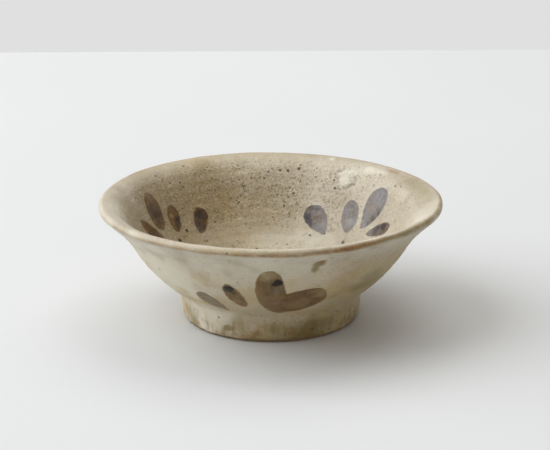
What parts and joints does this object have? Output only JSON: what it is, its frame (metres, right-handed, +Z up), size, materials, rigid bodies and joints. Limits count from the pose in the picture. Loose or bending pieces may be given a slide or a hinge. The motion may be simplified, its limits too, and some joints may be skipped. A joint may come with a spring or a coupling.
{
  "type": "shallow footed bowl",
  "caption": "Shallow stoneware bowl with a flared wall, rounded lip and tall foot ring, matt beige glaze and brushed iron-brown petals.",
  "frame": {"origin": "centre of the foot ring's resting circle, on the surface that the bowl stands on", "axes": "+Z up along the axis on which the bowl was thrown; -Y towards the side that carries the outside_front petals"},
  "size_m": [0.15, 0.15, 0.0534],
  "materials": {
    "stoneware": "fired bare clay, brown, slightly gritty",
    "matt_glaze": "matt beige glaze with pits and rust specks",
    "iron_pigment": "brushed iron oxide under thin glaze, half gloss"
  },
  "bodies": {
    "root": {"bowl_body": "stoneware", "foot_ring": "stoneware", "inner_glaze": "matt_glaze", "outer_glaze": "matt_glaze", "petal_inside_right_1": "iron_pigment", "petal_inside_right_2": "iron_pigment", "petal_inside_right_3": "iron_pigment", "petal_inside_right_4": "iron_pigment", "petal_inside_right_5": "iron_pigment", "petal_inside_left_1": "iron_pigment", "petal_inside_left_2": "iron_pigment", "petal_inside_left_3": "iron_pigment", "petal_inside_left_4": "iron_pigment", "petal_inside_left_5": "iron_pigment", "petal_inside_left_6": "iron_pigment", "petal_inside_front_1": "iron_pigment", "petal_inside_front_2": "iron_pigment", "petal_inside_front_3": "iron_pigment", "petal_inside_front_4": "iron_pigment", "petal_outside_front_1": "iron_pigment", "petal_outside_front_2": "iron_pigment", "petal_outside_front_3": "iron_pigment", "petal_outside_front_4": "iron_pigment", "petal_outside_right_1": "iron_pigment", "petal_outside_right_2": "iron_pigment", "petal_outside_right_3": "iron_pigment", "petal_outside_right_4": "iron_pigment", "petal_outside_left_1": "iron_pigment", "petal_outside_left_2": "iron_pigment", "petal_outside_left_3": "iron_pigment", "petal_outside_left_4": "iron_pigment"}
  },
  "joints": []
}
